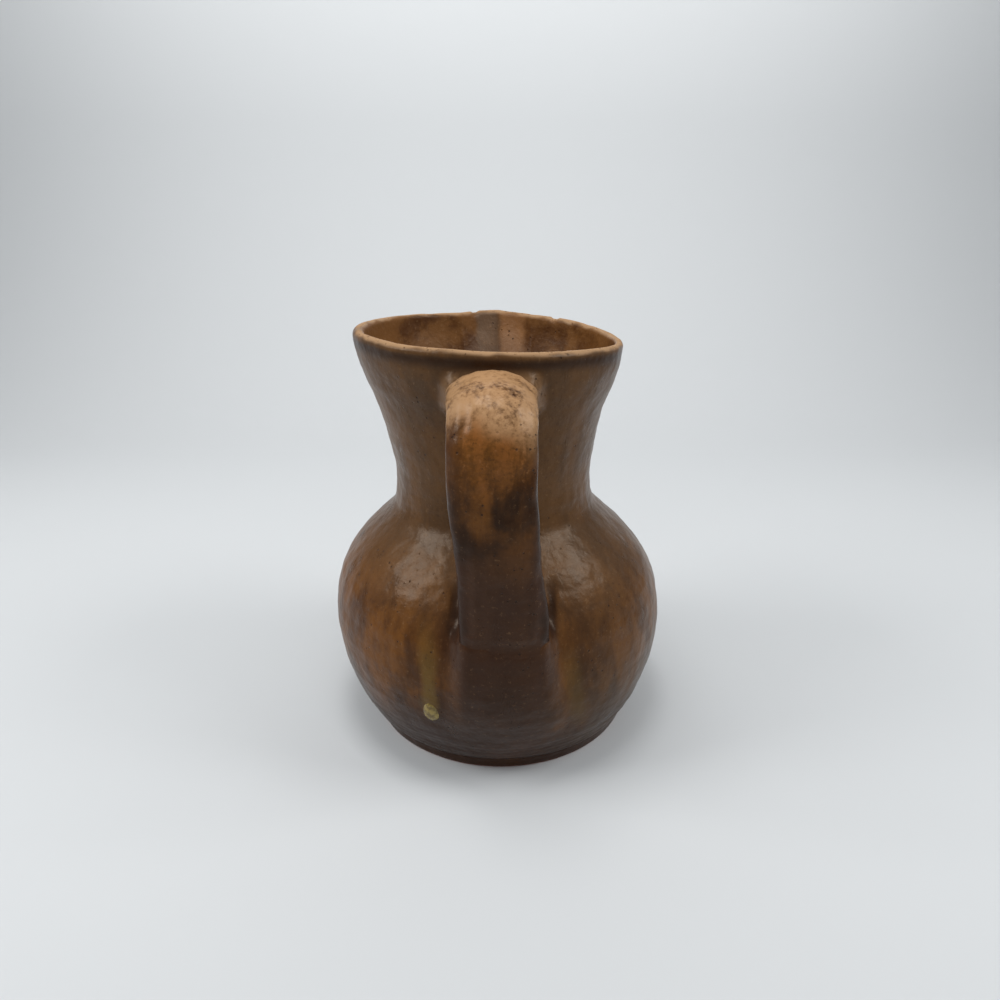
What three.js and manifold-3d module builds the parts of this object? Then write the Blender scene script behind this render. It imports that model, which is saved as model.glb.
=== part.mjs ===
// Hand-thrown glazed pitcher: flat foot, round belly, flared neck with a pulled pouring lip,
// and a wide strap handle. Millimetres, +Z up. The origin is the centre of the flat foot.
// The handle is on -Y and the pouring lip on +Y.
import * as THREE from 'three';
import { mergeVertices } from 'three/addons/utils/BufferGeometryUtils.js';
import Module from 'manifold-3d';

const wasm = await Module();
wasm.setup();

// Foot and belly
const FOOT_RADIUS = 60;
const FOOT_EDGE_ROUND = 1;
const FOOT_EDGE_CUT = 0.3; // where the rounded edge has its middle facet, as a share of its size
const FOOT_THICKNESS = 6;
const FOOT_TOP_RADIUS = 60.8;
const BELLY_LEDGE = 1.7; // the belly wall stands proud of the foot edge by this much
const BELLY_RADIUS = 74;
const BELLY_WIDEST_Z = 48;
const LOWER_BELLY_INSET = 1; // the lower belly is flatter than a straight taper by this much
const LOWER_BELLY_DROP = 5;
const SHOULDER_RADIUS = 65.5;
const SHOULDER_Z = 76;
const SHOULDER_FULLNESS = 0.2;
const WALL = 5;
const INSIDE_CORNER = 8;

// Neck and rim
const NECK_JOINT_Z = 97;
const NECK_JOINT_RADIUS = 46.2;
const WAIST_RADIUS = 42.4;
const WAIST_Z = 113;
const WAIST_BLEND_RADIUS = 0.9; // above the joint the neck is still wider than its waist by this much
const WAIST_BLEND_DROP = 2;
const NECK_FLARE = [[0.12, 0.26], [0.43, 0.54], [0.79, 0.76]]; // shares of the way out, and up, to the rim
const RIM_RADIUS = 55.2;
const RIM_Z = 171.9;
const NECK_WALL = 4.2;
const NECK_WALL_BLEND = 1 / 6; // share of the neck's height where its wall thins from the belly's
const RIM_TILT = 1.6; // the rim drops by this much towards +X and rises as much towards -X
const RIM_BACK_RISE = 1.2; // the rim rises by this much at the lip and drops as much at the handle
const RIM_SAG = 2.2; // and sags by this much more on the +X side

// Pouring lip, pulled outwards with a fingertip
const LIP_PULL = 9;
const LIP_ANGLE = THREE.MathUtils.degToRad(86.8);
const LIP_HALF_ANGLE = THREE.MathUtils.degToRad(19);
const LIP_DEPTH = 42;
const LIP_CREASE = 1.15; // 1 gives straight flanks and a sharp crease, 2 a soft one

// The pot leans: its axis moves towards -X by this much for each millimetre of height
const LEAN = 0.0275;

// Strap handle
const STRAP_WIDTH = 29.4;
const STRAP_THICKNESS = 9.5;
const STRAP_SQUARENESS = 2.6;
const STRAP_REACH = 78; // from the pot's axis to the middle of the strap, at its furthest
const STRAP_TOP_Z = 158.5;
const STRAP_TOP_X = -3;
const STRAP_FOOT_X = 1.2;
const STRAP_ROOT_INSET = 1; // the buried end of the strap is outside the waist's radius by this much
const STRAP_ROOT_DROP = 0.5;
const STRAP_RISE = 0.8; // the strap rises by this much, this far outside the rim's radius
const STRAP_RISE_OUTSIDE = 2;
const STRAP_FURTHEST_DROP = 22; // the strap reaches furthest out this far below its top

// The strap's bend above and below there: [short of its furthest reach, below its top]
const STRAP_ARCH = [[8.5, 2], [1.8, 10], [0, STRAP_FURTHEST_DROP], [1.2, 48]];

// Its straight leg: [short of its furthest reach, above the shoulder]
const STRAP_LEG = [[3.8, 18], [5, 2]];

// Tail of the strap, smeared down the belly
const TAIL_TAPER_Z = 68;
const TAIL_START_Z = 62;
const TAIL_KNEE_Z = 38;
const TAIL_END_Z = 26;
const TAIL_END_WIDTH = 33;
const TAIL_END_THICKNESS = 2;
const TAIL_TIP_SHARE = 0.1; // the last share of the strap's length, which rounds off
const TAIL_TIP_ROUNDING = 0.9; // 1 brings the tip to a point

// Clay pressed round the top of the strap
const COLLAR_WIDTH = 39;
const COLLAR_HEIGHT = 25;
const COLLAR_PROUD = 6.5;
const COLLAR_DROP = 1;

// Bead where a run of glaze stopped on the belly
const BEAD_ANGLE = THREE.MathUtils.degToRad(-110.4);
const BEAD_Z = 34;
const BEAD_WIDTH = 6.6;
const BEAD_HEIGHT = 8;
const BEAD_PROUD = 1.5;

// Gap kept between a piece and the neighbour that it is cut to fit
const FIT_GAP = 0.3;

// Facets
const AROUND = 72;
const BELLY_STEPS = 12;
const NECK_STEPS = 12;
const RIM_STEPS = 4;
const STRAP_STEPS = 34;
const STRAP_SIDES = 20;
const BALL_AROUND = 24;
const BALL_STEPS = 14;
const CURVE_SAMPLES = 200;
const SLOPE_STEP = 0.5;

// Share of the neck's height where the rounded rim begins
const RIM_ROUND = NECK_WALL / 2;
const RIM_SHARE = 1 - RIM_ROUND / (RIM_Z - NECK_JOINT_Z);

const clamp01 = (value) => Math.min(1, Math.max(0, value));
const smooth = (value) => clamp01(value) ** 2 * (3 - 2 * clamp01(value));
const leanAt = (z) => -LEAN * z;

// Radius as a smooth function of height, through a few [radius, height] points
function radiusCurve(points) {
  const curve = new THREE.SplineCurve(points.map(([r, z]) => new THREE.Vector2(r, z)));
  const samples = curve.getPoints(CURVE_SAMPLES);
  return (z) => {
    const above = samples.findIndex((p) => p.y >= z);
    if (above === -1) return samples[samples.length - 1].x;
    if (above === 0) return samples[0].x;
    const [a, b] = [samples[above - 1], samples[above]];
    return a.x + ((b.x - a.x) * (z - a.y)) / (b.y - a.y);
  };
}

const bellyRadius = radiusCurve([
  [FOOT_TOP_RADIUS + BELLY_LEDGE, FOOT_THICKNESS],
  [(FOOT_TOP_RADIUS + 2 * BELLY_RADIUS) / 3 - LOWER_BELLY_INSET,
    (FOOT_THICKNESS + BELLY_WIDEST_Z) / 2 - LOWER_BELLY_DROP],
  [BELLY_RADIUS, BELLY_WIDEST_Z],
  [SHOULDER_RADIUS, SHOULDER_Z],
  [(SHOULDER_RADIUS + 2 * NECK_JOINT_RADIUS) / 3 + SHOULDER_FULLNESS, (SHOULDER_Z + 2 * NECK_JOINT_Z) / 3],
  [NECK_JOINT_RADIUS, NECK_JOINT_Z],
]);

const neckRadius = radiusCurve([
  [NECK_JOINT_RADIUS, NECK_JOINT_Z],
  [WAIST_RADIUS + WAIST_BLEND_RADIUS, (NECK_JOINT_Z + WAIST_Z) / 2 - WAIST_BLEND_DROP],
  [WAIST_RADIUS, WAIST_Z],
  ...NECK_FLARE.map(([out, up]) => [
    WAIST_RADIUS + out * (RIM_RADIUS - WAIST_RADIUS),
    WAIST_Z + up * (RIM_Z - WAIST_Z),
  ]),
  [RIM_RADIUS, RIM_Z],
]);

function rimHeight(angle) {
  const sag = RIM_SAG * Math.max(0, Math.cos(angle)) ** 4;
  return RIM_Z - RIM_TILT * Math.cos(angle) + RIM_BACK_RISE * Math.sin(angle) - sag;
}

// How far the lip is pulled out at an angle, at a share of the way up the neck
function lipPull(angle, share) {
  const across = Math.abs(angle - LIP_ANGLE) / LIP_HALF_ANGLE;
  const neckHeight = RIM_Z - NECK_JOINT_Z;
  const up = smooth((share * neckHeight - (neckHeight - LIP_DEPTH)) / LIP_DEPTH);
  return across < 1 ? LIP_PULL * (1 - across) ** LIP_CREASE * up : 0;
}

// A point on the neck: share goes from 0 at the joint to 1 at the rim, inset is measured inwards
function neckPoint(share, inset, lift, angle) {
  const z = NECK_JOINT_Z + share * (rimHeight(angle) - NECK_JOINT_Z);
  const r = neckRadius(NECK_JOINT_Z + share * (RIM_Z - NECK_JOINT_Z)) - inset + lipPull(angle, share);
  return new THREE.Vector3(leanAt(z) + r * Math.cos(angle), r * Math.sin(angle), z + lift);
}

function bellyPoint(z, radius, angle) {
  return new THREE.Vector3(leanAt(z) + radius * Math.cos(angle), radius * Math.sin(angle), z);
}

function geometryFrom(positions, indices) {
  const geometry = new THREE.BufferGeometry();
  geometry.setAttribute('position', new THREE.Float32BufferAttribute(positions, 3));
  geometry.setIndex(indices);
  geometry.computeVertexNormals();
  return geometry;
}

// A wall whose closed outline, a list of functions of the angle, is carried round the pot.
// The outline goes up the outside and down the inside.
function turnedWall(outline) {
  const positions = [];
  const indices = [];
  for (let i = 0; i < AROUND; i++) {
    const angle = (2 * Math.PI * i) / AROUND;
    outline.forEach((pointAt) => positions.push(...pointAt(angle).toArray()));
  }
  const n = outline.length;
  for (let i = 0; i < AROUND; i++) {
    for (let j = 0; j < n; j++) {
      const a = i * n + j;
      const b = ((i + 1) % AROUND) * n + j;
      const c = ((i + 1) % AROUND) * n + ((j + 1) % n);
      const d = i * n + ((j + 1) % n);
      indices.push(a, b, c, a, c, d);
    }
  }
  return geometryFrom(positions, indices);
}

// A closed body through rings of points, with a flat fan at each end
function loft(rings) {
  const n = rings[0].length;
  const positions = rings.flat().flatMap((p) => p.toArray());
  const indices = [];
  for (let i = 0; i + 1 < rings.length; i++) {
    for (let j = 0; j < n; j++) {
      const a = i * n + j;
      const b = i * n + ((j + 1) % n);
      indices.push(a, b, b + n, a, b + n, a + n);
    }
  }
  [[0, false], [rings.length - 1, true]].forEach(([ring, last]) => {
    const middle = rings[ring].reduce((sum, p) => sum.add(p), new THREE.Vector3()).divideScalar(n);
    positions.push(...middle.toArray());
    const hub = positions.length / 3 - 1;
    for (let j = 0; j < n; j++) {
      const a = ring * n + j;
      const b = ring * n + ((j + 1) % n);
      indices.push(...(last ? [a, b, hub] : [b, a, hub]));
    }
  });
  return geometryFrom(positions, indices);
}

function toSolid(geometry) {
  const bare = geometry.clone();
  bare.deleteAttribute('normal');
  bare.deleteAttribute('uv');
  const merged = mergeVertices(bare, 1e-4);
  const vertProperties = new Float32Array(merged.attributes.position.array);
  const triVerts = new Uint32Array(merged.index.array);
  return new wasm.Manifold(new wasm.Mesh({ numProp: 3, vertProperties, triVerts }));
}

function toGeometry(solid) {
  const mesh = solid.getMesh();
  return geometryFrom(Array.from(mesh.vertProperties), Array.from(mesh.triVerts));
}

// The whole outer skin of the pot as a filled body, grown outwards by a gap
function potEnvelope(gap) {
  const rings = [];
  const ring = (pointAt) => {
    rings.push(Array.from({ length: AROUND }, (_, i) => pointAt((2 * Math.PI * i) / AROUND)));
  };
  for (let j = 0; j <= BELLY_STEPS; j++) {
    const z = bellyStepHeight(j);
    ring((angle) => bellyPoint(z, bellyRadius(z) + gap, angle));
  }
  for (let j = 1; j <= NECK_STEPS; j++) {
    ring((angle) => neckPoint((RIM_SHARE * j) / NECK_STEPS, -gap, 0, angle));
  }
  ring((angle) => neckPoint(RIM_SHARE, -gap, RIM_ROUND + gap, angle));
  return toSolid(loft(rings));
}

const bellyStepHeight = (j) => FOOT_THICKNESS + (j / BELLY_STEPS) * (NECK_JOINT_Z - FOOT_THICKNESS);

// Inner radius of the belly, for a wall of even thickness square to its slope
function bellyInnerRadius(z) {
  const low = Math.max(FOOT_THICKNESS, z - SLOPE_STEP);
  const high = Math.min(NECK_JOINT_Z, z + SLOPE_STEP);
  const slope = (bellyRadius(high) - bellyRadius(low)) / (high - low);
  const rise = 1 - clamp01((z - FOOT_THICKNESS) / INSIDE_CORNER);
  const corner = INSIDE_CORNER * (1 - Math.sqrt(1 - rise ** 2));
  return bellyRadius(z) - WALL * Math.sqrt(1 + slope ** 2) - corner;
}

function footDisc() {
  const profile = [
    [0, 0],
    [FOOT_RADIUS - FOOT_EDGE_ROUND, 0],
    [FOOT_RADIUS - FOOT_EDGE_CUT * FOOT_EDGE_ROUND, FOOT_EDGE_CUT * FOOT_EDGE_ROUND],
    [FOOT_RADIUS, FOOT_EDGE_ROUND],
    [FOOT_TOP_RADIUS, FOOT_THICKNESS],
    [0, FOOT_THICKNESS],
  ];
  return new THREE.LatheGeometry(profile.map(([r, z]) => new THREE.Vector2(r, z)), AROUND)
    .rotateX(Math.PI / 2);
}

function bellyWall() {
  const outline = [];
  for (let j = 0; j <= BELLY_STEPS; j++) {
    const z = bellyStepHeight(j);
    outline.push((angle) => bellyPoint(z, bellyRadius(z), angle));
  }
  for (let j = BELLY_STEPS; j >= 0; j--) {
    const z = bellyStepHeight(j);
    outline.push((angle) => bellyPoint(z, bellyInnerRadius(z), angle));
  }
  return turnedWall(outline);
}

function neckWithLip() {
  const outline = [];
  const jointInset = NECK_JOINT_RADIUS - bellyInnerRadius(NECK_JOINT_Z);
  const insetAt = (share) => NECK_WALL + (jointInset - NECK_WALL) * (1 - smooth(share / NECK_WALL_BLEND));
  const shareAt = (j) => (RIM_SHARE * j) / NECK_STEPS;
  for (let j = 0; j < NECK_STEPS; j++) {
    outline.push((angle) => neckPoint(shareAt(j), 0, 0, angle));
  }
  for (let k = 0; k <= RIM_STEPS; k++) {
    const turn = (Math.PI * k) / RIM_STEPS;
    const inset = RIM_ROUND * (1 - Math.cos(turn));
    outline.push((angle) => neckPoint(RIM_SHARE, inset, RIM_ROUND * Math.sin(turn), angle));
  }
  for (let j = NECK_STEPS - 1; j >= 0; j--) {
    outline.push((angle) => neckPoint(shareAt(j), insetAt(shareAt(j)), 0, angle));
  }
  return turnedWall(outline);
}

// Middle line of the strap, from inside the neck wall, out and down to its tail on the belly
function strapPath() {
  const stretch = [
    [-(WAIST_RADIUS + STRAP_ROOT_INSET), STRAP_TOP_Z - STRAP_ROOT_DROP],
    [-(RIM_RADIUS + STRAP_RISE_OUTSIDE), STRAP_TOP_Z + STRAP_RISE],
    ...STRAP_ARCH.map(([short, below]) => [-(STRAP_REACH - short), STRAP_TOP_Z - below]),
    ...STRAP_LEG.map(([short, above]) => [-(STRAP_REACH - short), SHOULDER_Z + above]),
    ...[TAIL_START_Z, BELLY_WIDEST_Z, TAIL_KNEE_Z, TAIL_END_Z].map((z) => [-bellyRadius(z), z]),
  ];
  const furthestZ = STRAP_TOP_Z - STRAP_FURTHEST_DROP;
  const sideways = (z) => {
    const down = clamp01((furthestZ - z) / (furthestZ - TAIL_START_Z));
    return STRAP_TOP_X + (STRAP_FOOT_X - STRAP_TOP_X) * down;
  };
  return new THREE.CatmullRomCurve3(stretch.map(([y, z]) => new THREE.Vector3(sideways(z), y, z)));
}

// The strap as a solid, grown by a gap on every side
function strapSolid(gap) {
  const path = strapPath();
  const rings = [];
  for (let i = 0; i <= STRAP_STEPS; i++) {
    const middle = path.getPointAt(i / STRAP_STEPS);
    const along = path.getTangentAt(i / STRAP_STEPS);
    const out = new THREE.Vector3(0, along.z, -along.y).normalize();
    const tail = clamp01((TAIL_TAPER_Z - middle.z) / (TAIL_TAPER_Z - TAIL_END_Z));
    const nearTip = clamp01(1 + (i / STRAP_STEPS - 1) / TAIL_TIP_SHARE);
    const tip = Math.sqrt(1 - TAIL_TIP_ROUNDING * nearTip ** 2);
    const half = ((STRAP_WIDTH + (TAIL_END_WIDTH - STRAP_WIDTH) * tail) / 2) * tip + gap;
    const thick = (STRAP_THICKNESS + (TAIL_END_THICKNESS - STRAP_THICKNESS) * smooth(tail)) / 2 + gap;
    const power = 2 / STRAP_SQUARENESS;
    rings.push(Array.from({ length: STRAP_SIDES }, (_, k) => {
      const turn = (2 * Math.PI * k) / STRAP_SIDES;
      const across = Math.sign(Math.cos(turn)) * Math.abs(Math.cos(turn)) ** power * half;
      const proud = Math.sign(Math.sin(turn)) * Math.abs(Math.sin(turn)) ** power * thick;
      return middle.clone().addScaledVector(new THREE.Vector3(1, 0, 0), across).addScaledVector(out, proud);
    }));
  }
  return toSolid(loft(rings));
}

function handleStrap() {
  return toGeometry(strapSolid(0).subtract(potEnvelope(FIT_GAP)));
}

// A squashed ball placed on the wall of the pot
function ballOnWall(angle, z, radius, width, proud, height) {
  const ball = new THREE.SphereGeometry(1, BALL_AROUND, BALL_STEPS);
  ball.scale(proud, width / 2, height / 2);
  ball.rotateZ(angle);
  ball.translate(leanAt(z) + radius * Math.cos(angle), radius * Math.sin(angle), z);
  return toSolid(ball);
}

function handleCollar() {
  const wall = neckRadius(STRAP_TOP_Z);
  const angle = -Math.PI / 2;
  const middleZ = STRAP_TOP_Z - COLLAR_DROP;
  const ball = ballOnWall(angle, middleZ, wall, COLLAR_WIDTH, COLLAR_PROUD, COLLAR_HEIGHT);
  const shifted = ball.translate([STRAP_TOP_X - leanAt(STRAP_TOP_Z), 0, 0]);
  return toGeometry(shifted.subtract(potEnvelope(FIT_GAP)).subtract(strapSolid(FIT_GAP)));
}

function glazeBead() {
  const wall = bellyRadius(BEAD_Z) + FIT_GAP;
  const ball = ballOnWall(BEAD_ANGLE, BEAD_Z, wall, BEAD_WIDTH, BEAD_PROUD, BEAD_HEIGHT);
  return toGeometry(ball.subtract(potEnvelope(FIT_GAP)));
}

const glaze = (color) => new THREE.MeshStandardMaterial({ color, roughness: 0.28, metalness: 0 });
const bareClay = new THREE.MeshStandardMaterial({ color: '#8a5238', roughness: 0.85, metalness: 0 });

const pitcher = new THREE.Group();
function addPiece(name, geometry, material) {
  const mesh = new THREE.Mesh(geometry, material);
  mesh.name = name;
  pitcher.add(mesh);
}

addPiece('foot_disc', footDisc(), bareClay);
addPiece('belly_wall', bellyWall(), glaze('#5a3316'));
addPiece('neck_with_lip', neckWithLip(), glaze('#553520'));
addPiece('handle_strap', handleStrap(), glaze('#6b4120'));
addPiece('handle_collar', handleCollar(), glaze('#8a6243'));
addPiece('glaze_bead', glazeBead(), glaze('#6f6326'));

export default pitcher;
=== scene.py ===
import math

import bpy
import numpy as np
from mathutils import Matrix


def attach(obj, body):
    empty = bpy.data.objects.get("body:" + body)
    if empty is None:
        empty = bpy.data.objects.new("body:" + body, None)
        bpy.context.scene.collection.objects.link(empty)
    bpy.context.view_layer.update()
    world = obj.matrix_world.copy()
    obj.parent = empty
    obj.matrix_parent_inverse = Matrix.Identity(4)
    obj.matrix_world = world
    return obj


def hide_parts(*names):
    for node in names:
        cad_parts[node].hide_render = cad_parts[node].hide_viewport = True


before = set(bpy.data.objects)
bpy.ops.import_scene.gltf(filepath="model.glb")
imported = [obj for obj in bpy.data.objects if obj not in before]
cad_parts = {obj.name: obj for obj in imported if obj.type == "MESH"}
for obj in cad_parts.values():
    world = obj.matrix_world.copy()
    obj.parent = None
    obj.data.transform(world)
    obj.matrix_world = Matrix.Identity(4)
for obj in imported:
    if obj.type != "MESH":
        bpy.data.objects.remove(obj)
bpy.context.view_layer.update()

MM = 0.001

# Pot, in millimetres: radius at height, from the foot ledge to the neck and from the neck to the rim
BELLY = [(61.8, 6), (65.2, 13), (68.8, 20.5), (72.8, 34), (73.9, 48), (72.3, 60), (69.8, 68), (65.5, 76),
         (59.3, 84), (53.0, 90), (48.2, 94.5), (45.4, 97.5), (43.9, 100)]
NECK = [(43.9, 100), (42.9, 104), (42.4, 109), (42.3, 115), (42.9, 121), (44.0, 128), (45.5, 136),
        (47.9, 145), (51.4, 154), (54.0, 163), (55.1, 171.9)]
JOINT_Z = 100
FLOOR_Z = 6
RIM_Z = 171.9
WALL, WALL_SLANT_LIMIT = 5, 1.45
NECK_WALL, NECK_WALL_EXTRA, NECK_WALL_BLEND = 4.2, 1.2, 0.15
RIM_ROUND = NECK_WALL / 2
INSIDE_CORNER = 8
LEAN = 0.0275
RIM_TILT, RIM_BACK_RISE, RIM_SAG = 1.6, 1.2, 2.2
LIP_PULL, LIP_DEPTH, LIP_CREASE = 10, 44, 1.0
LIP_ANGLE, LIP_HALF_ANGLE = math.radians(86.8), math.radians(19)

# Strap handle: its middle line as [y, z], its width and thickness
STRAP_LINE = [(-51.2, 155.9), (-57, 156.6), (-69.0, 154.2), (-76.0, 147.2), (-78, 136.5), (-76.8, 110.5),
              (-74.4, 94), (-72.8, 78), (-72.0, 66), (-71.6, 58), (-69.5, 48)]
STRAP_TOP_X, STRAP_FOOT_X = -3.0, 1.2
STRAP_SHIFT_LOW_Z, STRAP_SHIFT_HIGH_Z = 70, 136
STRAP_WIDTH, STRAP_THICKNESS = 30, 9.5
STRAP_LOW_SPREAD = 1.6
STRAP_SQUARENESS, ARCH_ROUNDING = 2.7, 0.7
STRAP_CROWN, ARCH_CROWN = 0.9, 1.8
STRAP_TOP_Z = 156

# Smeared tail of the strap on the belly, and the clay round its root on the neck
TAIL_TOP_Z, TAIL_END_Z, TAIL_PROUD = 64, 18, 6.6
COLLAR_PROUD, COLLAR_SPREAD = 5.0, 8.0

# Bead of olive glaze on the belly, the run above it, and a fainter streak on the right
BEAD_X, BEAD_Z, BEAD_RUN_TOP = -26.2, 34, 66
BEAD_HALF_WIDTH, BEAD_HALF_HEIGHT, BEAD_PROUD = 3.5, 4.2, 1.7
STREAK_X, STREAK_SLANT = 28, 0.12

# Small damage: a pit beside the handle, and chips in the far rim as middle, edge and core in radians
PIT_X, PIT_Z = 15.5, 139
CHIPS = [(math.radians(55), 0.05, 0.02), (math.radians(98), 0.04, 0.015)]
CHIP_DEPTH = 0.7

# Foot: radius and height, from the middle of the underside, round the edge, to the middle of the floor inside
FOOT_UNDER_Z, FOOT_INSIDE_Z = 0.2, 6.3
FOOT_PROFILE = [(0.5, 0.2), (20, 0.2), (40, 0.2), (52, 0.15), (55, 0.02), (58.6, 0), (59.5, 0.25), (60, 0.9),
                (60.2, 2.2), (60.6, 4.2), (60.9, 5.2), (60.6, 5.96), (57, 5.98), (54, 6.1), (50, 6.6),
                (40, 6.5), (25, 6.4), (0.5, 6.3)]

# Points round the pot, and rows of points up its belly, neck and rim
AROUND = 400
BELLY_ROWS, NECK_ROWS, RIM_ROWS = 96, 78, 13
STRAP_ROWS, STRAP_AROUND = 230, 84

# Light in metres: name, place, size, power, and what it is aimed at
POT_MIDDLE = (0, 0, 0.08)
LAMPS = [("left_panel", (-0.58, -0.14, 0.58), (0.34, 0.34), 2.8, POT_MIDDLE),
         ("right_panel", (0.54, -0.12, 0.60), (0.30, 0.34), 2.3, POT_MIDDLE),
         ("top_panel", (-0.06, -0.06, 0.80), (0.30, 0.20), 1.9, POT_MIDDLE),
         ("backdrop_panel", (0.0, 0.45, 0.75), (1.2, 0.2), 2.4, (0, 0.75, 0.5))]
SKY_STRENGTH = 0.55
CAMERA_PLACE, CAMERA_TILT, CAMERA_LENS, CAMERA_SENSOR = (-0.0003, -0.290, 0.2069), math.radians(69.2), 24.88, 36


# Small shared maths

def smooth(low, high, value):
    t = np.clip((value - low) / (high - low), 0, 1)
    return t * t * (3 - 2 * t)


def curve_through(points, steps=24):
    """Radius against height, smooth through a few points."""
    p = np.array(points, float)
    p = np.vstack([2 * p[0] - p[1], p, 2 * p[-1] - p[-2]])
    t = np.linspace(0, 1, steps, endpoint=False)[:, None]
    parts = []
    for a, b, c, d in zip(p[:-3], p[1:-2], p[2:-1], p[3:]):
        parts.append(0.5 * (2 * b + (c - a) * t + (2 * a - 5 * b + 4 * c - d) * t**2
                            + (3 * b - a - 3 * c + d) * t**3))
    dense = np.vstack(parts + [p[-2][None]])
    return dense


def lattice(cell, seed):
    """A repeatable number from 0 to 1 for each lattice cell."""
    n = cell[..., 0] * 73856093 ^ cell[..., 1] * 19349663 ^ cell[..., 2] * 83492791 ^ seed * 2654435
    n = (n ^ (n >> 13)) * 1274126177 & 0x7FFFFFFF
    return ((n ^ (n >> 16)) & 0xFFFF) / 65535


def wobble(points, size, seed):
    """Smooth noise from -1 to 1 with lumps of a size in millimetres."""
    p = points / size
    cell = np.floor(p).astype(np.int64)
    f = p - cell
    f = f * f * (3 - 2 * f)
    total = 0
    for i in (0, 1):
        for j in (0, 1):
            for k in (0, 1):
                weight = (abs(1 - i - f[..., 0]) * abs(1 - j - f[..., 1]) * abs(1 - k - f[..., 2]))
                total = total + weight * lattice(cell + np.array([i, j, k]), seed)
    return 2 * total - 1


def layered(points, size, seed, layers=3):
    """The noise again at half the size and half the height, a few times over."""
    return sum(wobble(points, size / 2**n, seed + n) / 2**n for n in range(layers))


belly_dense = curve_through(BELLY)
neck_dense = curve_through(NECK)


def belly_radius(z):
    return np.interp(z, belly_dense[:, 1], belly_dense[:, 0])


def neck_radius(z):
    return np.interp(z, neck_dense[:, 1], neck_dense[:, 0])


def rim_height(angle):
    sag = RIM_SAG * np.maximum(0, np.cos(angle)) ** 4
    return RIM_Z - RIM_TILT * np.cos(angle) + RIM_BACK_RISE * np.sin(angle) - sag


def lip_pull(angle, share):
    across = np.abs(angle - LIP_ANGLE) / LIP_HALF_ANGLE
    height = RIM_Z - JOINT_Z
    up = smooth(0, LIP_DEPTH, share * height - (height - LIP_DEPTH))
    return LIP_PULL * np.clip(1 - across, 0, 1) ** LIP_CREASE * up


def strap_middle(z):
    """Where along x the middle of the strap is."""
    return STRAP_TOP_X + (STRAP_FOOT_X - STRAP_TOP_X) * (1 - smooth(STRAP_SHIFT_LOW_Z, STRAP_SHIFT_HIGH_Z, z))


def tail_proud(off_middle, z):
    """How far the strap's smeared tail stands out from the belly."""
    fade = (np.maximum(0, z - TAIL_END_Z) / (TAIL_TOP_Z - TAIL_END_Z)) ** 1.55
    half = STRAP_WIDTH / 2 + STRAP_LOW_SPREAD + 6 * smooth(TAIL_TOP_Z, TAIL_END_Z, z)
    ridge = smooth(half + 5, half - 4, np.abs(off_middle - 1.5 * smooth(60, 25, z)))
    return TAIL_PROUD * fade * ridge


def pot_lumps(p):
    """Unevenness of a hand-made wall, in millimetres."""
    return 0.75 * wobble(p, 38, 11) + 0.22 * layered(p, 13, 21, 3)


# Mesh helpers

GLAZE_MASKS = ("wear", "dark", "plum", "khaki", "olive", "pale", "deep", "glow")


def make_object(name, points, faces, materials, face_material=None):
    mesh = bpy.data.meshes.new(name)
    mesh.from_pydata((points * MM).tolist(), [], faces.tolist() if hasattr(faces, "tolist") else faces)
    for material in materials:
        mesh.materials.append(material)
    if face_material is not None:
        mesh.polygons.foreach_set("material_index", np.asarray(face_material, np.int32))
    mesh.polygons.foreach_set("use_smooth", np.ones(len(mesh.polygons), bool))
    mesh.update()
    piece = bpy.data.objects.new(name, mesh)
    bpy.context.scene.collection.objects.link(piece)
    return piece


def set_masks(piece, **masks):
    """Where each colour of the glaze lies, 0 to 1 on each point; a colour left out lies nowhere."""
    for name in [*GLAZE_MASKS, *(extra for extra in masks if extra not in GLAZE_MASKS)]:
        values = masks.get(name, np.zeros(len(piece.data.vertices)))
        layer = piece.data.attributes.new(name, "FLOAT", "POINT")
        layer.data.foreach_set("value", np.asarray(values, np.float32).ravel())


def grid_normals(p):
    """Outward normals of a grid of points that closes on itself both ways."""
    across = np.roll(p, -1, axis=1) - np.roll(p, 1, axis=1)
    up = np.roll(p, -1, axis=0) - np.roll(p, 1, axis=0)
    n = np.cross(across, up)
    return n / np.maximum(np.linalg.norm(n, axis=2, keepdims=True), 1e-9)


def grid_faces(rows, columns):
    i, j = np.meshgrid(np.arange(rows), np.arange(columns), indexing="ij")
    i2, j2 = (i + 1) % rows, (j + 1) % columns
    return np.stack([i * columns + j, i * columns + j2, i2 * columns + j2, i2 * columns + j], -1).reshape(-1, 4)


def capped(p, low_hub, high_hub):
    """Points and faces of a grid whose rows close on themselves, with a fan of faces at each end."""
    rows, columns = p.shape[:2]
    faces = grid_faces(rows, columns)[: (rows - 1) * columns].tolist()
    base = rows * columns
    for j in range(columns):
        k = (j + 1) % columns
        faces.append([k, j, base])
        faces.append([(rows - 1) * columns + j, (rows - 1) * columns + k, base + 1])
    return np.vstack([p.reshape(-1, 3), [low_hub, high_hub]]), faces


# Shader helpers

class Value:
    """A socket that takes part in Python expressions."""

    def __init__(self, tree, socket):
        self.tree, self.socket = tree, socket

    def _math(self, operation, first, second):
        node = self.tree.nodes.new("ShaderNodeMath")
        node.operation = operation
        for index, item in enumerate((first, second)):
            if isinstance(item, Value):
                self.tree.links.new(item.socket, node.inputs[index])
            else:
                node.inputs[index].default_value = item
        return Value(self.tree, node.outputs[0])

    def __add__(self, other):
        return self._math("ADD", self, other)

    def __radd__(self, other):
        return self._math("ADD", other, self)

    def __sub__(self, other):
        return self._math("SUBTRACT", self, other)

    def __rsub__(self, other):
        return self._math("SUBTRACT", other, self)

    def __mul__(self, other):
        return self._math("MULTIPLY", self, other)

    def __rmul__(self, other):
        return self._math("MULTIPLY", other, self)


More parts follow.
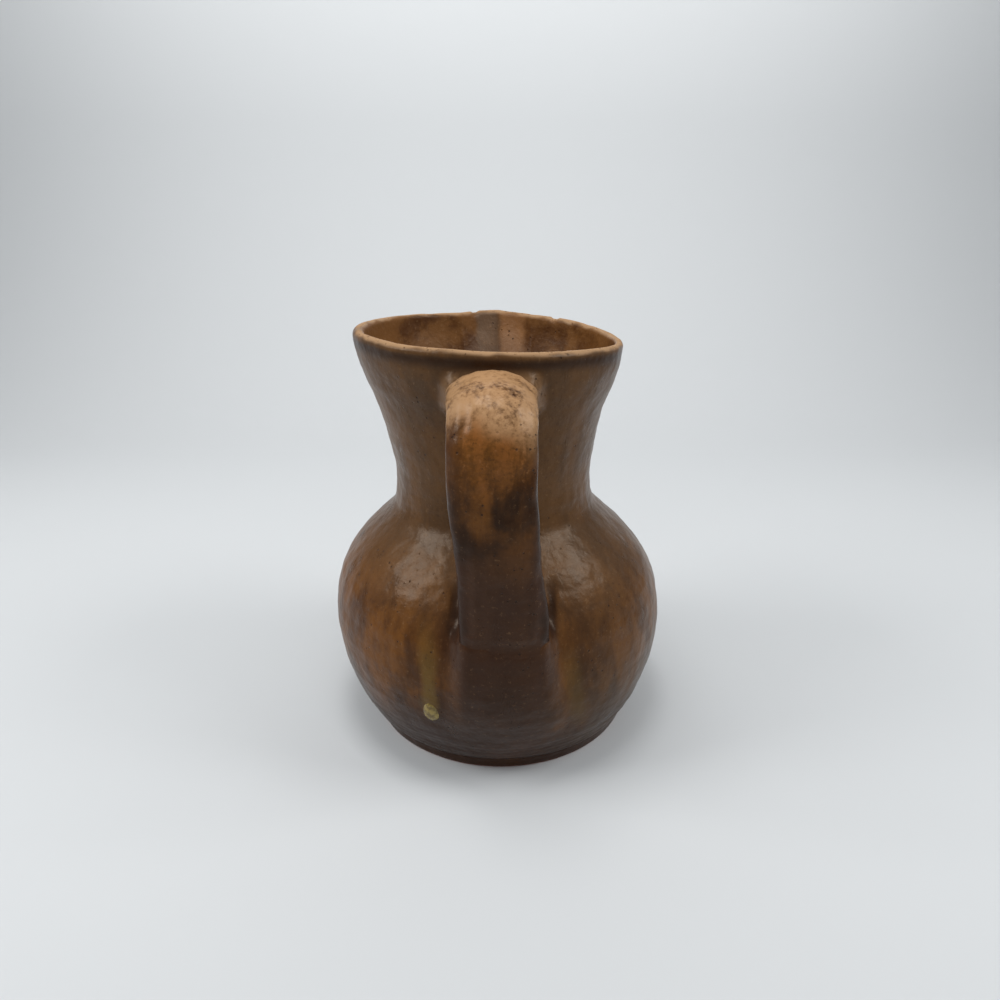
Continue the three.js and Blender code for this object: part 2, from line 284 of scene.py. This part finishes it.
class Finish:
    """A material, its nodes, and the socket values that they take."""

    def __init__(self, name):
        self.material = bpy.data.materials.new(name)
        self.material.use_nodes = True
        self.tree = self.material.node_tree
        self.shader = self.tree.nodes["Principled BSDF"]
        self.place = self.node("ShaderNodeTexCoord", output="Object")

    def node(self, kind, settings=None, output=0, **inputs):
        node = self.tree.nodes.new(kind)
        for key, item in (settings or {}).items():
            setattr(node, key, item)
        for key, item in inputs.items():
            socket = node.inputs[int(key[1:])] if key[0] == "i" and key[1:].isdigit() else node.inputs[key]
            self.feed(socket, item)
        return Value(self.tree, node.outputs[output])

    def feed(self, socket, item):
        if isinstance(item, Value):
            self.tree.links.new(item.socket, socket)
        elif isinstance(item, tuple) and len(item) == 3 and socket.type == "RGBA":
            socket.default_value = (*item, 1)
        else:
            socket.default_value = item

    def mask(self, name):
        return self.node("ShaderNodeAttribute", {"attribute_name": name}, output="Fac")

    def noise(self, size_mm, detail=3.0, roughness=0.55, stretch=None, warp=0.0):
        place = self.place
        if stretch:
            place = self.node("ShaderNodeVectorMath", {"operation": "MULTIPLY"}, i0=place, i1=stretch)
        return self.node("ShaderNodeTexNoise", Vector=place, Scale=1 / (size_mm * MM), Detail=detail,
                         Roughness=roughness, Distortion=warp)

    def step(self, value, low, high):
        return self.node("ShaderNodeMapRange", {"interpolation_type": "SMOOTHSTEP"}, Value=value,
                         i1=low, i2=high, i3=0.0, i4=1.0)

    def mix(self, factor, first, second, blend="MIX"):
        return self.node("ShaderNodeMix", {"data_type": "RGBA", "blend_type": blend}, output=2,
                         i0=factor, i6=first, i7=second)

    def bump(self, height, distance_mm, strength=1.0):
        return self.node("ShaderNodeBump", Height=height, Distance=distance_mm * MM, Strength=strength)

    def set(self, **inputs):
        for key, item in inputs.items():
            self.feed(self.shader.inputs[key.replace("_", " ")], item)


def rgb(red, green, blue):
    """A colour given as it looks on a screen, 0 to 255, as linear light."""
    return tuple(((c / 255 + 0.055) / 1.055) ** 2.4 if c > 10 else c / 255 / 12.92 for c in (red, green, blue))


# Glaze outside
AMBER = rgb(108, 66, 24)
UMBER = rgb(64, 35, 13)
PLUM = rgb(52, 31, 23)
KHAKI = rgb(86, 64, 42)
OLIVE = rgb(104, 80, 36)
GLOW = rgb(132, 80, 34)
DEEP = rgb(38, 19, 9)
TAN = rgb(172, 134, 96)

# Glaze inside
OCHRE = rgb(116, 76, 38)
INSIDE_BROWN = rgb(78, 44, 16)
INSIDE_SHADE = rgb(50, 25, 8)
INSIDE_PIT = rgb(40, 22, 12)
FLANK_WIPE_AND_SHADE = rgb(104, 82, 64)
FLANK_LIT_TAN = rgb(160, 112, 70)

# Bead, bare clay, paper and sky
BEAD_DARK, BEAD_PALE = rgb(96, 76, 24), rgb(146, 124, 58)
PALE_CLAY = rgb(160, 126, 92)
DARK_CLAY, RED_CLAY, WIPED_CLAY = rgb(118, 62, 42), rgb(150, 84, 58), rgb(170, 116, 84)
PAPER = rgb(205, 207, 208)
SKY = rgb(214, 218, 222)

# Reflections of the thin old glaze: weak, and a little warm
WARM = (1.0, 0.84, 0.68, 1.0)
GLOSS = 0.22


def speckle(finish, size_mm, amount):
    """Small scattered dots, 1 inside a dot."""
    dots = finish.node("ShaderNodeTexVoronoi", {"feature": "F1"}, output="Distance", Vector=finish.place,
                       Scale=1 / (size_mm * MM))
    patches = finish.noise(size_mm * 5, 2.0)
    return (1 - finish.step(dots, amount * 0.6, amount)) * finish.step(patches, 0.5, 0.62)


def glazed_outside():
    """Brown glaze, mottled amber and umber, with the other colours laid over it by their masks."""
    finish = Finish("brown_glaze_outside")
    broad = finish.noise(34, 4.0, 0.6, warp=0.4)
    runs = finish.noise(9, 4.0, 0.6, stretch=(1.0, 1.0, 0.28), warp=0.3)
    grain = finish.noise(1.6, 3.0, 0.7)
    streaked = broad * 0.55 + runs * 0.45
    colour = finish.mix(finish.step(streaked, 0.38, 0.62), UMBER, AMBER)
    colour = finish.mix(finish.mask("glow") * finish.step(runs * 0.6 + grain * 0.4, 0.42, 0.6), colour, GLOW)
    colour = finish.mix(finish.mask("khaki") * (0.75 + 0.5 * (broad - 0.5)), colour, KHAKI)
    colour = finish.mix(finish.mask("plum") * (0.85 + 0.6 * (runs - 0.5)), colour, PLUM)
    colour = finish.mix(finish.mask("deep") * finish.step(streaked, 0.66, 0.44), colour, DEEP)
    colour = finish.mix(finish.mask("olive") * finish.step(runs, 0.25, 0.5), colour, OLIVE)
    colour = finish.mix(finish.step(grain, 0.58, 0.75) * 0.16, colour, TAN)
    colour = finish.mix(finish.step(grain, 0.44, 0.3) * 0.28, colour, DEEP)
    # On the handle's arch this pale tan is partly a painted highlight over thinner glaze
    colour = finish.mix(finish.mask("pale") * finish.step(runs * 0.6 + grain * 0.4, 0.32, 0.55), colour, TAN)
    # Low beside the strap this dark is painted shade in the gap as well as cracks
    colour = finish.mix(finish.mask("dark") * 0.85, colour, DEEP)
    colour = finish.mix(finish.mask("wear") * finish.step(grain, 0.30, 0.42), colour, PALE_CLAY)
    pits = speckle(finish, 3.1, 0.16)
    colour = finish.mix(pits * 0.7, colour, DEEP)
    rough = 0.2 + 0.22 * runs + 0.4 * finish.mask("wear")
    peel = finish.noise(2.6, 2.0, 0.5)
    lumps = finish.noise(7.5, 1.5, 0.5)
    height = 0.75 * lumps + 0.16 * peel + 0.1 * grain - 0.4 * pits
    finish.set(Base_Color=colour, Roughness=rough, Normal=finish.bump(height, 0.85), Specular_IOR_Level=GLOSS,
               Specular_Tint=WARM)
    return finish.material


def glazed_inside():
    """Ochre glaze with painted shade down the throat, and the two flanks of the lip marked off, one grey with a
    wiped stripe and painted shade, one tan with painted light.
    """
    finish = Finish("ochre_glaze_inside")
    broad = finish.noise(20, 4.0, 0.6, warp=0.3)
    grain = finish.noise(1.7, 3.0, 0.7)
    colour = finish.mix(finish.step(broad, 0.40, 0.60), INSIDE_BROWN, OCHRE)
    # Painted shade, deeper down the throat
    colour = finish.mix(finish.mask("dark") * 0.9, colour, INSIDE_SHADE)
    # Grey flank: a wiped stripe and painted shade; tan flank: painted light
    colour = finish.mix(finish.mask("flank_wipe_and_shade") * 0.8, colour, FLANK_WIPE_AND_SHADE)
    colour = finish.mix(finish.mask("flank_lit_tan") * 0.5, colour, FLANK_LIT_TAN)
    colour = finish.mix(finish.mask("wear") * finish.step(grain, 0.28, 0.42), colour, PALE_CLAY)
    colour = finish.mix(finish.step(grain, 0.55, 0.75) * 0.2, colour, TAN)
    pits = speckle(finish, 3.4, 0.15)
    colour = finish.mix(pits * 0.7, colour, INSIDE_PIT)
    height = 0.5 * finish.noise(7, 2.0, 0.5) + 0.2 * grain - 0.5 * pits
    finish.set(Base_Color=colour, Roughness=0.32 + 0.2 * broad, Normal=finish.bump(height, 0.8),
               Specular_IOR_Level=GLOSS, Specular_Tint=WARM)
    return finish.material


def olive_glaze():
    finish = Finish("olive_glaze_bead")
    cloud = finish.noise(2.2, 3.0, 0.6)
    colour = finish.mix(finish.step(cloud, 0.35, 0.65), BEAD_DARK, BEAD_PALE)
    finish.set(Base_Color=colour, Roughness=0.16, Normal=finish.bump(cloud, 0.2))
    return finish.material


def bare_clay():
    finish = Finish("bare_foot_clay")
    grain = finish.noise(1.2, 4.0, 0.7)
    rings = finish.noise(12, 3.0, 0.6)
    colour = finish.mix(grain, DARK_CLAY, RED_CLAY)
    colour = finish.mix(finish.step(rings, 0.5, 0.7) * 0.6, colour, WIPED_CLAY)
    finish.set(Base_Color=colour, Roughness=0.86, Normal=finish.bump(grain, 0.35))
    return finish.material


# Pot

def pot_grid(angle):
    """Rows of points up the outside, over the rim and down the inside, and 1 to 0 for how far outside each is."""
    rim_share = 1 - RIM_ROUND / (RIM_Z - JOINT_Z)
    belly_z = np.linspace(FLOOR_Z, JOINT_Z, BELLY_ROWS, endpoint=False)
    shares = np.linspace(0, rim_share, NECK_ROWS, endpoint=False)
    rows, outer = [], []

    def belly_row(z, radius, weight):
        rows.append(np.stack([radius * np.cos(angle), radius * np.sin(angle), np.full(AROUND, z)], -1))
        outer.append(weight)

    def neck_row(share, inset, lift, weight):
        z = JOINT_Z + share * (rim_height(angle) - JOINT_Z)
        r = neck_radius(JOINT_Z + share * (RIM_Z - JOINT_Z)) - inset + lip_pull(angle, share)
        rows.append(np.stack([r * np.cos(angle), r * np.sin(angle), z + lift], -1))
        outer.append(weight)

    for z in belly_z:
        belly_row(z, float(belly_radius(z)), 1)
    for share in shares:
        neck_row(share, 0, 0, 1)
    for turn in np.linspace(0, math.pi, RIM_ROWS):
        neck_row(rim_share, RIM_ROUND * (1 - math.cos(turn)), RIM_ROUND * math.sin(turn),
                 0.5 * (1 + math.cos(turn)))
    for share in shares[::-2]:
        neck_row(share, NECK_WALL + NECK_WALL_EXTRA * float(smooth(NECK_WALL_BLEND, 0, share)), 0, 0)
    for z in belly_z[::-2]:
        slope = (belly_radius(z + 0.5) - belly_radius(z - 0.5))
        rise = 1 - min(1, (z - FLOOR_Z) / INSIDE_CORNER)
        corner = INSIDE_CORNER * (1 - math.sqrt(1 - rise**2))
        belly_row(z, float(belly_radius(z) - WALL * min(WALL_SLANT_LIMIT, math.hypot(1, slope)) - corner), 0)
    return np.array(rows), np.array(outer)[:, None] * np.ones(AROUND)


def pot_places(p, angle):
    """Where things are on the pot's points: lengths in millimetres, and shares from 0 to 1."""
    x, y, z = p[..., 0], p[..., 1], p[..., 2]
    height_left = rim_height(angle)[None, :] - z
    front = smooth(0, -20, y)
    off_strap = x - (strap_middle(z) + LEAN * z)

    # Clay worked round the top of the strap, and its tail on the belly
    beside = np.maximum(0, np.abs(off_strap) - STRAP_WIDTH / 2 + 3)
    above = np.maximum(0, np.abs(z - STRAP_TOP_Z + 1) - STRAP_THICKNESS / 2 + 2)
    collar = COLLAR_PROUD * smooth(COLLAR_SPREAD, 0, np.hypot(beside, above)) * front
    tail = tail_proud(off_strap, z) * smooth(TAIL_TOP_Z + 11, TAIL_TOP_Z + 1.5, z) * front

    # Ragged cracks where the strap's edges meet the belly, with painted shade of the gap there, and chips in the
    # rim
    crevice = smooth(3.0, 1.0, np.abs(np.abs(off_strap) - 18.6 + 0.9 * wobble(p, 5, 91)))
    crevice = crevice * smooth(64, 70, z) * smooth(87, 79, z) * front * smooth(-1.1, -0.3, wobble(p, 4, 92))
    chip = np.maximum.reduce([smooth(edge, core, np.abs(angle - middle)) for middle, edge, core in CHIPS])
    chip = chip[None, :] * smooth(2.5, 0.5, height_left)
    return {"height_left": height_left, "front": front, "off_strap": off_strap, "collar": collar, "tail": tail,
            "crevice": crevice, "chip": chip}


def pot_relief(p, outer, at):
    """How far each point of the pot moves out of its smooth wall, and how far the rim's waves lift it."""
    z = p[..., 2]
    drift = wobble(p, 45, 3) * 2.4
    rings = np.sin((z + drift) * 2 * math.pi / 7.5) * 0.045 + np.sin((z + drift) * 2 * math.pi / 3.1) * 0.02
    foot_marks = np.sin((z + 0.5 * drift) * 2 * math.pi / 2.6) * 0.12 * smooth(26, 10, z)
    skin = (rings + foot_marks) * outer + pot_lumps(p) * (0.35 + 0.65 * outer)
    rim_nicks = -0.5 * np.clip(wobble(p, 5, 41) - 0.55, 0, 1) * smooth(3, 0, at["height_left"])
    rim_nicks = rim_nicks - CHIP_DEPTH * at["chip"]
    bottom = smooth(FLOOR_Z, FLOOR_Z + 2.5, z)
    added = (at["collar"] + at["tail"] - 0.9 * at["crevice"]) * (outer > 0.5)
    rim_wave = 0.35 * wobble(p * [1, 1, 0.1], 16, 51) * smooth(9, 0, at["height_left"])
    return added + (skin + rim_nicks) * bottom, rim_wave


def pot_masks(p, angle, outer, at):
    """Where each colour of the pot's glaze lies, and where shade and light are painted into it."""
    x, z = p[..., 0], p[..., 2]
    height_left, front = at["height_left"], at["front"]

    # Rim, the pit beside the handle, and the line of dark glaze under the rim
    near_rim = smooth(1.5, 0.1, height_left + 0.9 * wobble(p, 4, 61))
    pit = smooth(2.4, 0.9, np.hypot(x - PIT_X, z - PIT_Z)) * front
    edge_line = smooth(2, 3.4, height_left) * smooth(8.5, 4, height_left) * outer
    # The crevice in this darkening is painted shade in the gap by the strap as well as cracks
    dark_outside = np.maximum.reduce([edge_line, at["crevice"], pit, 0.8 * at["chip"]])

    # The two flanks of the lip, seen from inside: the grey flank is a wiped stripe with painted shade on it, the
    # tan flank is painted light
    across = (angle[None, :] - LIP_ANGLE) / LIP_HALF_ANGLE + 0.06 * wobble(p, 6, 95)
    lip_depth = smooth(LIP_DEPTH, 4, height_left) * (1 - outer)
    flank_wipe_and_shade = smooth(0.62, 0.48, across) * smooth(-0.06, 0.06, across) * lip_depth
    flank_lit_tan = smooth(-0.9, -0.6, across) * smooth(0.02, -0.1, across) * lip_depth

    # Purple-brown low down and under the strap, khaki on the right and up the neck, and runs of olive
    right = smooth(8, 45, x)
    belly_low = smooth(46, 14, z + 6 * wobble(p, 22, 71))
    under = smooth(24, 13, np.abs(at["off_strap"])) * smooth(78, 60, z) * front
    khaki = np.clip(smooth(62, 96, z) * 0.8 + right * smooth(110, 60, z) * 0.4, 0, 1)
    run_half = 4.5 + 2.5 * wobble(p, 12, 81)
    run = smooth(run_half, 1, np.abs(x - BEAD_X)) * smooth(BEAD_Z - 2, BEAD_Z + 6, z)
    run = run * smooth(BEAD_RUN_TOP + 12, BEAD_Z + 12, z) * front
    streak = smooth(5, 1, np.abs(x - STREAK_X - STREAK_SLANT * (60 - z)))
    streak = streak * smooth(20, 34, z) * smooth(66, 50, z) * front
    olive = np.clip(0.75 * run + 0.3 * streak + 0.12 * right * smooth(60, 30, z), 0, 1)
    # Inside, the dark mask is painted shade, deeper down the throat
    return {"wear": near_rim, "dark": np.where(outer > 0.5, dark_outside, smooth(8, 40, height_left)),
            "plum": np.maximum(belly_low, under) * outer, "khaki": khaki * outer, "olive": olive * outer,
            "pale": 0.45 * at["collar"] / COLLAR_PROUD * outer, "deep": 0.55 * smooth(74, 40, z) * outer,
            "flank_wipe_and_shade": flank_wipe_and_shade, "flank_lit_tan": flank_lit_tan}


def pot_skin(outside, inside):
    """Belly and neck as one closed wall, glazed outside and inside."""
    angle = np.linspace(-math.pi / 2, 1.5 * math.pi, AROUND, endpoint=False)
    p, outer = pot_grid(angle)
    at = pot_places(p, angle)
    lift, rim_wave = pot_relief(p, outer, at)
    moved = p + grid_normals(p) * lift[..., None]
    moved[..., 2] += rim_wave
    moved[..., 0] -= LEAN * p[..., 2]
    side = np.repeat(np.where(outer[:, 0] > 0.3, 0, 1), AROUND)
    piece = make_object("pot_wall", moved.reshape(-1, 3), grid_faces(*outer.shape), [outside, inside], side)
    set_masks(piece, **pot_masks(p, angle, outer, at))
    return piece


# Handle

def strap_line():
    """Evenly spaced points of the strap's middle line."""
    dense = curve_through(STRAP_LINE, 40)
    steps = np.linalg.norm(np.diff(dense, axis=0), axis=1)
    length = np.concatenate([[0], np.cumsum(steps)])
    even = np.linspace(0, length[-1], STRAP_ROWS)
    return np.interp(even, length, dense[:, 0]), np.interp(even, length, dense[:, 1])


def strap_grid():
    """Points of the strap, round its section and down its length."""
    y, z = strap_line()
    along = np.stack([np.gradient(y), np.gradient(z)], -1)
    along /= np.linalg.norm(along, axis=1, keepdims=True)
    out_y, out_z = along[:, 1], -along[:, 0]
    x = strap_middle(z)
    spread = smooth(70, 44, z)
    root = smooth(-62, -50, y) * smooth(140, 150, z)
    half = STRAP_WIDTH / 2 + STRAP_LOW_SPREAD * smooth(104, 74, z) + 1.0 * root
    thick = STRAP_THICKNESS / 2 * (1 - 0.35 * spread) + 0.8 * root

    # The section is a rounded rectangle, rounder and higher in the middle over the arch
    turn = np.linspace(0, 2 * math.pi, STRAP_AROUND, endpoint=False)
    power = 2 / (STRAP_SQUARENESS - ARCH_ROUNDING * smooth(118, 146, z)[:, None])
    across = np.sign(np.cos(turn)) * np.abs(np.cos(turn)) ** power
    proud = np.sign(np.sin(turn)) * np.abs(np.sin(turn)) ** power
    crown = (STRAP_CROWN + ARCH_CROWN * smooth(134, 152, z)[:, None]) * (1 - across**2)
    rise = thick[:, None] * proud + crown * (proud > 0)
    p = np.stack([x[:, None] + half[:, None] * across, y[:, None] + out_y[:, None] * rise,
                  z[:, None] + out_z[:, None] * rise], -1)

    # Lumps, and marks of the wet hand that pulled it
    n = np.cross(np.roll(p, -1, axis=1) - np.roll(p, 1, axis=1), np.gradient(p, axis=0))
    n /= np.maximum(np.linalg.norm(n, axis=2, keepdims=True), 1e-9)
    lift = 0.55 * wobble(p, 26, 101) + 0.3 * layered(p, 9, 111, 3)
    wipes = 0.1 * np.sin(p[..., 0] * 2 * math.pi / 5 + 2 * wobble(p, 30, 121))
    p = p + n * (lift + wipes)[..., None]

    # Low down, its outer face settles onto the tail that is smeared on the belly
    z_now = p[..., 2]
    surface = belly_radius(z_now) + tail_proud(p[..., 0] - x[:, None], z_now) + pot_lumps(p)
    surface = surface - 1.5 * smooth(TAIL_TOP_Z + 2, TAIL_TOP_Z - 8, z_now)
    settled = -np.sqrt(surface**2 - (p[..., 0] + LEAN * z_now) ** 2)
    merge = smooth(TAIL_TOP_Z + 9, TAIL_TOP_Z + 1.5, z_now) * (proud > 0)
    p[..., 1] += (settled - p[..., 1]) * merge
    return p


def strap_handle(outside):
    p = strap_grid()
    points, faces = capped(p, p[0].mean(axis=0), p[-1].mean(axis=0))
    piece = make_object("strap_handle", points, faces, [outside])

    # Pale on the arch, partly thinner glaze and partly a painted highlight, amber below it, deep brown half way
    # down, purple-brown at the foot, and dark beside it low down: cracks there, with painted shade in the gap by
    # the belly
    x, _, z = points.T
    grey = smooth(6, 12, x) * smooth(136, 144, z) * smooth(160, 150, z)
    low = smooth(122, 98, z + 8 * wobble(points, 14, 141))
    edge = smooth(12.5, 16.0, np.abs(x - strap_middle(z)) + 1.5 * wobble(points, 4, 151))
    set_masks(piece, pale=0.9 * smooth(144, 157, z + 5 * wobble(points, 9, 131)),
              glow=smooth(122, 140, z + 7 * wobble(points, 12, 161)) * smooth(16, 9, np.abs(x + 2)),
              plum=np.clip(low * 0.9 + 0.4 * smooth(10, 14, np.abs(x + 1)), 0, 1), khaki=0.7 * grey,
              dark=edge * smooth(60, 67, z) * smooth(104, 90, z),
              deep=0.9 * smooth(142, 126, z) * smooth(96, 112, z))
    return piece


# Bead and foot

def glaze_bead(olive):
    """A drop of thick glaze, fuller at its lower end, half sunk in the belly."""
    turn = np.linspace(0, 2 * math.pi, 40, endpoint=False)
    angle = math.atan2(-math.sqrt(float(belly_radius(BEAD_Z)) ** 2 - BEAD_X**2), BEAD_X)
    out = np.array([math.cos(angle), math.sin(angle), -0.16])
    out /= np.linalg.norm(out)
    side = np.cross([0, 0, 1], out)
    side /= np.linalg.norm(side)
    up = np.cross(out, side)
    middle = np.array([math.cos(angle), math.sin(angle), 0]) * (float(belly_radius(BEAD_Z)) - 0.5)
    middle = middle + [-LEAN * BEAD_Z, 0, BEAD_Z]
    stretch = 1 + 0.25 * (np.sin(turn) > 0) * np.abs(np.sin(turn))
    rings = []
    for level in np.linspace(-1, 1, 22)[1:-1]:
        r = math.sqrt(1 - level**2)
        rings.append(middle + np.outer(np.cos(turn) * r * BEAD_HALF_WIDTH, side)
                     + np.outer(np.sin(turn) * r * BEAD_HALF_HEIGHT * stretch, up) + out * level * BEAD_PROUD)
    points, faces = capped(np.array(rings), middle - out * BEAD_PROUD, middle + out * BEAD_PROUD)
    return make_object("glaze_bead_olive", points, faces, [olive])


def foot_slab(clay, outside, inside):
    """Flat bare foot, its glazed edge, and the glazed floor inside."""
    turn = np.linspace(0, 2 * math.pi, 240, endpoint=False)
    p = np.array([[(r * math.cos(t), r * math.sin(t), z) for t in turn] for r, z in FOOT_PROFILE])
    wave = 0.35 * wobble(p, 24, 201) * smooth(50, 58, np.hypot(p[..., 0], p[..., 1]))
    p[..., 0] += wave * np.cos(turn)
    p[..., 1] += wave * np.sin(turn)
    points, faces = capped(p, [0, 0, FOOT_UNDER_Z], [0, 0, FOOT_INSIDE_Z])
    bare, edge, floor = [0] * 7, [1] * 4, [2] * (len(FOOT_PROFILE) - 12)
    kinds = [kind for kind in bare + edge + floor for _ in turn] + [0, 2] * len(turn)
    piece = make_object("foot_slab", points, faces, [clay, outside, inside], kinds)
    set_masks(piece, plum=np.full(len(points), 0.9), dark=np.full(len(points), 0.45))
    return piece


outside, inside = glazed_outside(), glazed_inside()
pot = pot_skin(outside, inside)
strap = strap_handle(outside)
bead = glaze_bead(olive_glaze())
foot = foot_slab(bare_clay(), outside, inside)
for piece, slot_name, nodes in ((pot, "brown_glaze", ("belly_wall", "neck_with_lip")),
                                (strap, "brown_glaze", ("handle_strap", "handle_collar")),
                                (bead, "olive_glaze", ("glaze_bead",)),
                                (foot, "bare_clay", ("foot_disc",))):
    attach(piece, "root")
    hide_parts(*nodes)


# Floor and backdrop, light and camera

def backdrop():
    """A sheet of pale paper, flat under the pot and bent up behind it, in metres."""
    finish = Finish("pale_paper")
    finish.set(Base_Color=PAPER, Roughness=0.9)
    bend, far, tall, side = 0.35, 0.75, 2.2, 2.5
    outline = [(-2.5, 0.0), (far - bend, 0.0)]
    outline += [(far - bend + bend * math.sin(t), bend - bend * math.cos(t))
                for t in np.linspace(0, math.pi / 2, 14)[1:]]
    outline += [(far, tall)]
    points = np.array([(x, y, z) for y, z in outline for x in (-side, side)]) / MM
    faces = [[2 * i, 2 * i + 1, 2 * i + 3, 2 * i + 2] for i in range(len(outline) - 1)]
    sheet = make_object("paper_backdrop", points, faces, [finish.material])


def lamp(name, place, size, power, target):
    light = bpy.data.lights.new(name, "AREA")
    light.shape = "RECTANGLE"
    light.size, light.size_y = size
    light.energy = power
    holder = bpy.data.objects.new(name, light)
    holder.location = place
    aim = np.array(target) - np.array(place)
    holder.rotation_euler = (math.atan2(math.hypot(aim[0], aim[1]), -aim[2]), 0,
                             math.atan2(aim[1], aim[0]) - math.pi / 2)
    bpy.context.scene.collection.objects.link(holder)


def light_and_camera():
    scene = bpy.context.scene
    for settings in LAMPS:
        lamp(*settings)
    world = bpy.data.worlds.new("studio")
    world.use_nodes = True
    sky = world.node_tree.nodes["Background"]
    sky.inputs["Color"].default_value = (*SKY, 1)
    sky.inputs["Strength"].default_value = SKY_STRENGTH
    scene.world = world
    camera = bpy.data.objects.new("camera", bpy.data.cameras.new("camera"))
    camera.data.lens = CAMERA_LENS
    camera.data.sensor_width = CAMERA_SENSOR
    camera.location = CAMERA_PLACE
    camera.rotation_euler = (CAMERA_TILT, 0, 0)
    camera.data.clip_start = 0.01
    scene.collection.objects.link(camera)
    scene.camera = camera
    scene.view_settings.view_transform = "Standard"


backdrop()
light_and_camera()

bpy.context.view_layer.update()
